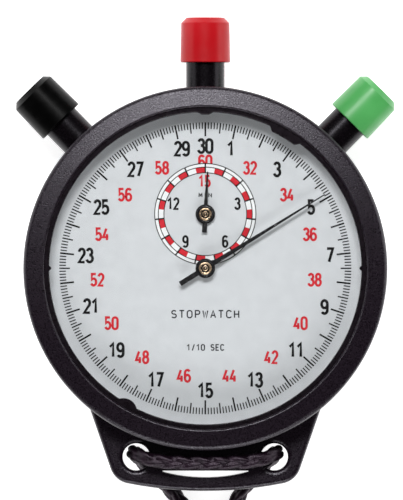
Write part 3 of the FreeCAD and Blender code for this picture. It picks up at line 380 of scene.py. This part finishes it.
def stroke_quads(points, width):
    """A line of points as a ribbon of quads of even width, mitred at its joints."""
    closed = math.dist(points[0], points[-1]) < 1e-9
    line = [Vector(p) for p in points]
    sides = []
    for number, point in enumerate(line):
        before = line[number - 1] if number else (line[-2] if closed else None)
        after = line[number + 1] if number + 1 < len(line) else (line[1] if closed else None)
        arriving = (point - before).normalized() if before is not None else None
        leaving = (after - point).normalized() if after is not None else None
        arriving = arriving or leaving
        leaving = leaving or arriving
        along = (arriving + leaving)
        along = along.normalized() if along.length > 1e-6 else leaving
        across = Vector((-along.y, along.x))
        stretch = min(1.6, 1 / max(0.3, across.dot(Vector((-leaving.y, leaving.x)))))
        sides.append((point + across * width / 2 * stretch, point - across * width / 2 * stretch))
    return [[tuple(b[0]), tuple(a[0]), tuple(a[1]), tuple(b[1])] for a, b in zip(sides, sides[1:])]


def text_quads(text, centre, height, advance, share=0.36, weight=0.172):
    """Quads for a word, upright and centred on a point.

    share is a glyph's width and weight the stroke's width, both as parts of the height.
    """
    quads = []
    inner = height * (1 - weight)
    start = centre[0] - advance * (len(text) - 1) / 2
    for number, letter in enumerate(text):
        if letter == " ":
            continue
        box_width = share * height * (0.62 if letter == "/" else 1)
        left = start + advance * number - box_width / 2
        bottom = centre[1] - inner / 2
        for stroke in GLYPHS[letter]:
            points = [(left + x * box_width, bottom + y * inner) for x, y in stroke]
            quads += stroke_quads(points, weight * height)
    return quads


# ---------------------------------------------------------------- dial print
def on_dial(radius, clock_angle, centre=(0.0, 0.0)):
    """A point at a radius and an angle clockwise from twelve o'clock."""
    angle = math.radians(clock_angle)
    return (centre[0] + radius * math.sin(angle), centre[1] + radius * math.cos(angle))


def tick(outer, inner, width, clock_angle, centre=(0.0, 0.0)):
    angle = math.radians(clock_angle)
    side = Vector((math.cos(angle), -math.sin(angle))) * width / 2
    near = Vector(on_dial(inner, clock_angle, centre))
    far = Vector(on_dial(outer, clock_angle, centre))
    return [tuple(near + side), tuple(far + side), tuple(far - side), tuple(near - side)]


def band(inner, outer, start, end, centre=(0.0, 0.0), steps=4):
    """Quads of a ring between two clock angles."""
    quads = []
    for step in range(steps):
        first = start + (end - start) * step / steps
        last = start + (end - start) * (step + 1) / steps
        quads.append([on_dial(inner, first, centre), on_dial(inner, last, centre),
                      on_dial(outer, last, centre), on_dial(outer, first, centre)])
    return quads


SCALE_OUTER = 26.1 * MM
SECOND_TICK = (2.5 * MM, 0.3 * MM)
HALF_TICK = (1.9 * MM, 0.24 * MM)
TENTH_TICK = (1.17 * MM, 0.2 * MM)
BLACK_RADIUS = 21.85 * MM
RED_RADIUS = 19.65 * MM
DIGIT_GAP = 1.42 * MM
RED_GAP = 1.28 * MM
MINUTE_GAP = 1.15 * MM
BLACK_HEIGHT = 2.85 * MM
RED_HEIGHT = 2.5 * MM
RED_SHARE = 0.35
BLACK_SHIFT = 0.35 * MM  # the numerals of the left half stand a little nearer the middle
RED_SHIFT = 0.25 * MM
OUTER_PAIR, OUTER_SHIFT = (7, 9), 0.55 * MM  # single digits at the side stand further out
TOP_RED_RADIUS = 19.1 * MM


def print_seconds_scale():
    ticks = []
    for tenth in range(300):
        length, width = TENTH_TICK
        if tenth % 10 == 0:
            length, width = SECOND_TICK
        elif tenth % 5 == 0:
            length, width = HALF_TICK
        ticks.append(tick(SCALE_OUTER, SCALE_OUTER - length, width, tenth * 1.2))
    printed("second_scale", ticks, BLACK_INK)

    black = text_quads("30", on_dial(BLACK_RADIUS, 0), BLACK_HEIGHT, DIGIT_GAP)
    for second in range(1, 30, 2):
        radius = BLACK_RADIUS + (OUTER_SHIFT if second in OUTER_PAIR else 0)
        x, y = on_dial(radius, second * 12)
        if second > 17:
            x += BLACK_SHIFT
        black += text_quads(str(second), (x, y), BLACK_HEIGHT, DIGIT_GAP)
    printed("second_numerals", black, BLACK_INK)

    red = []
    for second in range(32, 60, 2):
        x, y = on_dial(RED_RADIUS, second * 12)
        if second > 41:
            x += RED_SHIFT
        red += text_quads(str(second), (x, y), RED_HEIGHT, RED_GAP, RED_SHARE)
    red += text_quads("60", on_dial(TOP_RED_RADIUS, 0), RED_HEIGHT, RED_GAP, RED_SHARE)
    printed("second_numerals_red", red, RED_INK)


TRACK_OUTER, TRACK_MIDDLE, TRACK_INNER = 9.05 * MM, 8.4 * MM, 7.4 * MM
TRACK_LINE = 0.15 * MM
MINUTE_TICK = 0.26 * MM
BLOCK_INNER, BLOCK_OUTER = 7.47 * MM, 8.33 * MM
MINUTE_RADIUS = 6.05 * MM
MINUTE_HEIGHT, MINUTE_SHARE = 2.28 * MM, 0.34


def print_minute_dial():
    """The sub-dial: white track, red half-minute blocks, black lines; 24 degrees a minute."""
    centre = MINUTE_CENTRE.to_2d()
    lines, blocks, numerals = [], [], []
    for radius in (TRACK_OUTER, TRACK_MIDDLE, TRACK_INNER):
        lines += band(radius - TRACK_LINE / 2, radius + TRACK_LINE / 2, 0, 360, centre, 96)
    for minute in range(15):
        lines.append(tick(TRACK_OUTER, TRACK_INNER, MINUTE_TICK, minute * 24, centre))
        blocks += band(BLOCK_INNER, BLOCK_OUTER, minute * 24 - 12, minute * 24 - 0.6, centre)
    track = band(TRACK_INNER, TRACK_OUTER, 0, 360, centre, 96)
    printed("minute_track", track, TRACK_WHITE, 1.4 * PRINT)
    printed("minute_scale", lines, BLACK_INK, 2.2 * PRINT)
    printed("half_minute_blocks", blocks, RED_INK, 1.8 * PRINT)
    for minute in (3, 6, 9, 12):
        numerals += text_quads(str(minute), on_dial(MINUTE_RADIUS, minute * 24, centre),
                               MINUTE_HEIGHT, MINUTE_GAP, MINUTE_SHARE)
    numerals += text_quads("MIN", on_dial(3.4 * MM, 0, centre), 0.85 * MM, 0.86 * MM, 0.6, 0.26)
    printed("minute_numerals", numerals, BLACK_INK)
    fifteen = text_quads("15", (centre[0] - 0.15 * MM, centre[1] + 5.9 * MM), MINUTE_HEIGHT,
                         MINUTE_GAP, MINUTE_SHARE)
    printed("minute_numeral_red", fifteen, RED_INK)


def print_words():
    word = text_quads("STOPWATCH", (0, -8.2 * MM), 1.5 * MM, 1.4 * MM, 0.56, 0.15)
    printed("dial_word", word, GREY_INK)
    division = text_quads("1/10 SEC", (0, -14.15 * MM), 1.2 * MM, 0.86 * MM, 0.46, 0.17)
    printed("dial_division", division, GREY_INK)


# ---------------------------------------------------------------- rim
# Millimetres and degrees.  A plateau is (clock angle, half width, slope's width, depth).
RING_INNER, RING_OUTER = 27.9, 28.86
RING_SECTION = ((0.0, 0.1), (0.0, 0.62), (0.07, 0.78), (0.2, 0.85), (1.0, 0.85), (1.0, 0.0),
                (0.1, 0.0))
PLATEAUS = ((0, 1.0, 2.4, 0.5), (30.9, 4.6, 2.2, 0.8))
BUMP_ANGLES, BUMP_RADIUS = (90, 270), 0.41
BOSS_CENTRE, BOSS_RADIUS = (-14.64, -25.66), 2.5


def degrees_apart(first, second):
    return abs((first - second + 180) % 360 - 180)


def plateau_depth(turn, middle, half, soft, depth):
    away = degrees_apart(turn, middle)
    if away >= half + soft:
        return 0.0
    if away <= half:
        return depth
    return depth * (0.5 + 0.5 * math.cos(math.pi * (away - half) / soft))


def rim_inset(clock_angle):
    """How far the retaining ring's inner edge stands inwards at an angle, in millimetres."""
    turn = clock_angle % 360
    inset = max(plateau_depth(turn, *plateau) for plateau in PLATEAUS)
    for middle in BUMP_ANGLES:
        away = math.radians(degrees_apart(turn, middle)) * RING_INNER
        if away < BUMP_RADIUS:
            inset = max(inset, math.sqrt(BUMP_RADIUS ** 2 - away ** 2))
    boss = Vector(BOSS_CENTRE)
    ray = Vector((math.sin(math.radians(turn)), math.cos(math.radians(turn))))
    along = boss.dot(ray)
    miss = (boss - ray * along).length
    if along > 0 and miss < BOSS_RADIUS:
        inset = max(inset, RING_INNER - (along - math.sqrt(BOSS_RADIUS ** 2 - miss ** 2)))
    return inset


def rim_ring():
    """The glossy ring that holds the crystal down, with its moulded bosses over the dial's edge."""
    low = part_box("crystal")[1][2] / MM + 0.02
    steps = 1440
    vertices, faces = [], []
    for step in range(steps):
        clock_angle = 360 * step / steps
        inner = RING_INNER - rim_inset(clock_angle)
        for offset, height in RING_SECTION:
            radius = RING_OUTER if offset == 1.0 else inner + offset
            x, y = on_dial(radius * MM, clock_angle)
            vertices.append((x, y, (low + height) * MM))
    count = len(RING_SECTION)
    for step in range(steps):
        following = (step + 1) % steps
        for side in range(count):
            after = (side + 1) % count
            faces.append([step * count + side, following * count + side,
                          following * count + after, step * count + after])
    rim = mesh_object("crystal_retaining_ring", vertices, faces, CASE_WALL)
    recalculate(rim)
    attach(rim, "root")


def recalculate(thing):
    """Turn every face of a mesh outwards."""
    work = bmesh.new()
    work.from_mesh(thing.data)
    bmesh.ops.recalc_face_normals(work, faces=work.faces)
    work.to_mesh(thing.data)
    work.free()


# ---------------------------------------------------------------- hands and buttons
# Each detail of a hand's hub: (radius, height) points in millimetres, material and slot.
HUB_DETAILS = {
    "hub_collar": (((1.16, 0.0), (1.16, 0.04), (1.5, 0.04), (1.5, 0.0)), HAND, "hand_black"),
    "hub_ring": (((0.76, 0.0), (0.76, 0.1), (0.86, 0.17), (1.0, 0.17), (1.16, 0.06), (1.16, 0.0)),
                 BRASS, "gilt_brass"),
    "hub_recess": (((0, 0.0), (0.75, 0.0), (0.75, 0.03), (0, 0.03)), HAND, "hand_black"),
    "hub_tube": (((0.34, 0.04), (0.34, 0.15), (0.39, 0.18), (0.46, 0.18), (0.52, 0.13),
                  (0.52, 0.04)), BRASS, "gilt_brass"),
    "hub_arbor_end": (((0, 0.04), (0.16, 0.04), (0.16, 0.14), (0.1, 0.17), (0, 0.18)),
                      BRASS, "gilt_brass"),
}


def dress_hands():
    """Brass ring, dark recess and arbor end in the middle of each hand's hub, on the CAD hands."""
    for body, hub in (("seconds", "seconds_hand_bush"), ("minutes", "minute_hand_bush")):
        low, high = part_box(hub)
        middle = (low + high) / 2
        top = high.z / MM + 0.01
        for name, (profile, material, slot) in HUB_DETAILS.items():
            points = [(radius * MM, (top + height) * MM) for radius, height in profile]
            if profile[0][0]:
                points.append(points[0])
            piece = lathe(f"{body}_{name}", points, material, 48)
            recalculate(piece)
            piece.data.transform(Matrix.Translation((middle.x, middle.y, 0)))
            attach(piece, body)


BUTTON_ANGLES = {"start": 45.5, "stop": 90.0, "reset": 134.5}
SPRING_START = 31.75 * MM  # where the springs stand on the case, from the seconds axis
SPRING_MEAN, SPRING_WIRE, SPRING_TURNS = 1.95 * MM, 0.2 * MM, 7


def return_springs():
    """Wound springs under the caps, in place of the CAD springs."""
    for name, angle in BUTTON_ANGLES.items():
        low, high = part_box(f"{name}_spring")
        outward = Vector((math.cos(math.radians(angle)), math.sin(math.radians(angle)), 0))
        middle = (low + high) / 2
        start = SPRING_START
        end = 2 * middle.dot(outward) - start
        side = Vector((-outward.y, outward.x, 0))
        steps = SPRING_TURNS * 40
        points = []
        for step in range(steps + 1):
            share = step / steps
            turn = 2 * math.pi * SPRING_TURNS * share
            points.append(outward * (start + (end - start) * share) + Vector((0, 0, middle.z))
                          + (side * math.cos(turn) + Vector((0, 0, 1)) * math.sin(turn))
                          * SPRING_MEAN)
        coil = tube_mesh(f"{name}_return_spring", points, SPRING_WIRE, STEEL, 10)
        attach(coil, "root")
        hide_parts(f"{name}_spring")
        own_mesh(coil)


# ---------------------------------------------------------------- neck cord
# Millimetres.  The cord starts at the joiner, crosses the lug through both eyelets, and is wound
# into the hank before it comes home to the joiner.
LEFT_STRAND = [(-3.6, -46.5, 2.2), (-3.6, -44.5, 2.2), (-3.6, -43.0, 2.2), (-4.9, -41.2, 1.9),
               (-6.9, -39.3, 1.6), (-8.9, -37.0, 1.5), (-11.4, -34.7, 2.3), (-12.6, -33.15, 4.6),
               (-12.85, -32.95, 7.4), (-12.6, -33.1, 10.0), (-11.0, -33.9, 12.4),
               (-7.8, -34.65, 13.05), (-2.6, -34.75, 13.0)]
RIGHT_STRAND = [(2.6, -34.75, 13.0), (7.8, -34.65, 13.05), (11.0, -33.9, 12.4), (12.6, -33.1, 10.0),
                (12.85, -32.95, 7.4), (12.6, -33.15, 4.6), (11.4, -34.7, 2.3), (8.9, -37.0, 1.5),
                (6.8, -39.6, 1.6), (5.4, -42.2, 1.6), (4.4, -45.2, 1.8), (4.2, -51.0, 2.0),
                (5.6, -55.0, 1.6), (7.2, -59.5, 1.4)]
HOMEWARD = [(-8.1, -66.0, 7.0), (-7.6, -63.0, 7.2), (-6.6, -59.3, 7.0), (-5.3, -56.0, 4.9),
            (-4.2, -53.6, 2.9), (-3.6, -51.0, 2.2), (-3.6, -49.0, 2.2)]
CORD_WIDE = 2.8
HANK_MIDDLE = -82.0
HANK_BENDS = (-64.5, -99.5)
LAPS = ((8.1, 1.4), (5.3, 1.4), (5.3, 4.2), (8.1, 4.2), (5.3, 7.0), (8.1, 7.0))  # half width, level
PINCH, PINCH_REACH = 3.8, 12
LEAST_HALF = 1.45
SIDE_POINTS, BEND_STEPS = 7, 6
CROSSING_LAP, CROSSING_HUMP = 4, 2.6


def pinched(x, y, z):
    """Draw a point of the hank in towards the tie at its waist."""
    reach = abs(y - HANK_MIDDLE)
    if reach < PINCH_REACH:
        share = math.cos(math.pi * reach / (2 * PINCH_REACH)) ** 2
        x = math.copysign(max(LEAST_HALF, abs(x) - PINCH * share), x)
        z = 1.4 + (z - 1.4) * (1 - 0.12 * share)
    return (x, y, z)


def lap_points(lap):
    """One turn of the hank: down the right side, round, up the left side and over to the next."""
    half, level = LAPS[lap]
    final = lap + 1 == len(LAPS)
    following, rise = (half, level) if final else LAPS[lap + 1]
    north, south = HANK_BENDS
    points = []
    for step in range(SIDE_POINTS):
        y = north + (south - north) * step / (SIDE_POINTS - 1)
        points.append(pinched(half, y, level))
    for step in range(1, BEND_STEPS):
        angle = math.pi * step / BEND_STEPS
        points.append((half * math.cos(angle), south - half * 0.98 * math.sin(angle), level))
    for step in range(SIDE_POINTS):
        y = south + (north - south) * step / (SIDE_POINTS - 1)
        points.append(pinched(-half, y, level))
    if final:
        return points
    for step in range(1, BEND_STEPS):
        share = step / BEND_STEPS
        angle = math.pi * share
        width = half + (following - half) * share
        lift = level + (rise - level) * min(1.0, share / 0.45)
        if lap == CROSSING_LAP:
            lift += CROSSING_HUMP * math.sin(angle)
        points.append((-width * math.cos(angle), north + width * 0.98 * math.sin(angle), lift))
    return points


def cord_spline():
    """The whole cord's centreline as a NURBS curve, in metres."""
    points = LEFT_STRAND + RIGHT_STRAND
    for lap in range(len(LAPS)):
        points = points + lap_points(lap)
    points = points + HOMEWARD
    curve = bpy.data.curves.new("cord_route", "CURVE")
    curve.dimensions = "3D"
    curve.resolution_u = 12
    spline = curve.splines.new("NURBS")
    spline.points.add(len(points) - 1)
    for holder, point in zip(spline.points, points):
        holder.co = (point[0] * MM, point[1] * MM, point[2] * MM, 1.0)
    spline.order_u = 3
    spline.use_endpoint_u = True
    thing = bpy.data.objects.new("cord_route", curve)
    bpy.context.scene.collection.objects.link(thing)
    return thing


def line_of(curve_thing):
    """Points along a curve object, read from the mesh that Blender makes of it."""
    mesh = bpy.data.meshes.new_from_object(curve_thing)
    points = [vertex.co.copy() for vertex in mesh.vertices]
    bpy.data.meshes.remove(mesh)
    return points


def evenly(points, gap):
    """The same line with its points the same distance apart."""
    travelled = [0.0]
    for before, after in zip(points, points[1:]):
        travelled.append(travelled[-1] + (after - before).length)
    count = max(2, round(travelled[-1] / gap))
    result, index = [], 0
    for step in range(count + 1):
        goal = travelled[-1] * step / count
        while index + 2 < len(travelled) and travelled[index + 1] < goal:
            index += 1
        span = travelled[index + 1] - travelled[index]
        share = (goal - travelled[index]) / span if span else 0.0
        result.append(points[index].lerp(points[index + 1], min(1.0, share)))
    return result, travelled[-1]


def frames_along(points):
    """A direction and two steady cross directions at each point of a line."""
    across = Vector((1, 0, 0))
    frames = []
    for number in range(len(points)):
        before = points[max(0, number - 1)]
        after = points[min(len(points) - 1, number + 1)]
        ahead = (after - before).normalized()
        across = (across - ahead * across.dot(ahead)).normalized()
        frames.append((ahead, across, ahead.cross(across)))
    return frames


def tube_mesh(name, points, radius, material, sides=12, ridge=None):
    """A closed tube along a line; ridge(travel, angle) scales its radius."""
    frames = frames_along(points)
    vertices, faces = [], []
    travel = 0.0
    for number, (point, (_, across, up)) in enumerate(zip(points, frames)):
        if number:
            travel += (point - points[number - 1]).length
        for side in range(sides):
            angle = 2 * math.pi * side / sides
            reach = radius * (ridge(travel, angle) if ridge else 1.0)
            vertices.append(point + across * reach * math.cos(angle) + up * reach * math.sin(angle))
    for number in range(len(points) - 1):
        for side in range(sides):
            following = (side + 1) % sides
            first, last = number * sides, (number + 1) * sides
            faces.append([first + side, first + following, last + following, last + side])
    faces.append(list(reversed(range(sides))))
    faces.append(list(range((len(points) - 1) * sides, len(points) * sides)))
    thing = mesh_object(name, vertices, faces, material, smooth=True)
    recalculate(thing)
    return thing


BRAID_PITCH = 3.4 * MM
BRAID_SLANT = 0.75
BRAID_SIDES, BRAID_STEP = 32, 0.42 * MM


def braid_ridge(travel, angle):
    """Square plait: four rows of slanting strands that meet in herringbone seams."""
    quarter = (angle / (math.pi / 2)) % 4
    row = int(quarter)
    across = quarter - row
    slant = across if row % 2 == 0 else 1 - across
    phase = travel / BRAID_PITCH + BRAID_SLANT * slant + 0.5 * (row % 2)
    bulge = abs(math.sin(math.pi * phase)) ** 0.55
    seam = math.sin(math.pi * min(max(across, 0.03), 0.97)) ** 0.35
    return 0.6 + 0.44 * bulge * seam


def seam_turn(points):
    """The turn that puts one of the plait's seams on top where the cord crosses the lug."""
    lug_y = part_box("lanyard_joiner")[1].y + 5 * MM
    crossing = max((n for n in range(len(points)) if points[n].y > lug_y),
                   key=lambda n: points[n].z - abs(points[n].x))
    _, across, up = frames_along(points)[crossing]
    return -math.atan2(up.z, across.z)


def make_cord():
    route = cord_spline()
    dense = line_of(route)
    bpy.data.objects.remove(route)
    points, length = evenly(dense, BRAID_STEP)
    turn = seam_turn(points)
    braid = tube_mesh("neck_cord_braid", points, CORD_WIDE / 2 * MM, CORD_DARK, BRAID_SIDES,
                      lambda travel, angle: braid_ridge(travel, angle + turn))
    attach(braid, "root")
    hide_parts("lanyard_cord", "lanyard_hank")
    print(f"cord length {length:.4f} m, faces {len(braid.data.polygons)}")
    [tuple(p) for p in evenly(dense, 1.0 * MM)[0]]


# ---------------------------------------------------------------- studio
PICTURE_MIDDLE = Vector((-0.68 * MM, 3.27 * MM, 14 * MM))
PICTURE_HEIGHT = 89.3 * MM
CAMERA_DISTANCE = 2.0
SENSOR_HEIGHT = 24  # millimetres
FLOOR_HALF = 3.0
FLOOR_LEVEL = -0.2 * MM
LIT_POINT = (0, 0, 0.012)


def area_light(name, place, size, power):
    """A rectangular lamp turned towards the middle of the watch."""
    lamp = bpy.data.lights.new(name, "AREA")
    lamp.shape = "RECTANGLE"
    lamp.size, lamp.size_y = size
    lamp.energy = power
    thing = bpy.data.objects.new(name, lamp)
    thing.location = place
    thing.rotation_euler = (Vector(LIT_POINT) - Vector(place)).to_track_quat("-Z", "Y").to_euler()
    bpy.context.scene.collection.objects.link(thing)


def white_floor():
    """Seamless white paper: pale, and lit from inside a little so that shadows on it stay faint."""
    nodes = Nodes("floor_paper")
    nodes.surface(Emission_Color=(1, 1, 1, 1), Emission_Strength=0.85)
    nodes.colour(nodes.ramp(nodes.noise(300, 3), (0.3, srgb(246, 246, 247)),
                            (0.7, srgb(252, 252, 252))))
    nodes.rough(nodes.spread(nodes.noise(900, 3), 0.7, 0.9, 0.3, 0.7))
    return nodes.material


def studio():
    half = FLOOR_HALF
    floor = mesh_object("floor", [(-half, -half, 0), (half, -half, 0), (half, half, 0),
                                  (-half, half, 0)], [(0, 1, 2, 3)], white_floor())
    floor.location.z = FLOOR_LEVEL
    area_light("key_softbox", (-0.03, 0.27, 0.45), (0.26, 0.16), 2.3)
    area_light("front_fill", (0.0, -0.45, 0.24), (0.5, 0.14), 1.5)
    area_light("left_wall", (-0.4, 0.08, 0.12), (0.3, 0.2), 0.32)
    area_light("right_wall", (0.4, 0.08, 0.12), (0.3, 0.2), 0.48)
    world = bpy.data.worlds.new("studio_air")
    world.use_nodes = True
    world.node_tree.nodes["Background"].inputs["Color"].default_value = (1, 1, 1, 1)
    world.node_tree.nodes["Background"].inputs["Strength"].default_value = 0.03
    bpy.context.scene.world = world
    bpy.context.scene.view_settings.view_transform = "Standard"


def camera():
    lens = bpy.data.cameras.new("camera")
    lens.sensor_fit = "VERTICAL"
    lens.sensor_height = SENSOR_HEIGHT
    lens.lens = SENSOR_HEIGHT * CAMERA_DISTANCE / PICTURE_HEIGHT
    thing = bpy.data.objects.new("camera", lens)
    thing.location = PICTURE_MIDDLE + Vector((0, 0, CAMERA_DISTANCE))
    bpy.context.scene.collection.objects.link(thing)
    bpy.context.scene.camera = thing


# ---------------------------------------------------------------- build
dress_cad_nodes()
print_seconds_scale()
print_minute_dial()
print_words()
rim_ring()
dress_hands()
return_springs()
make_cord()
studio()
camera()
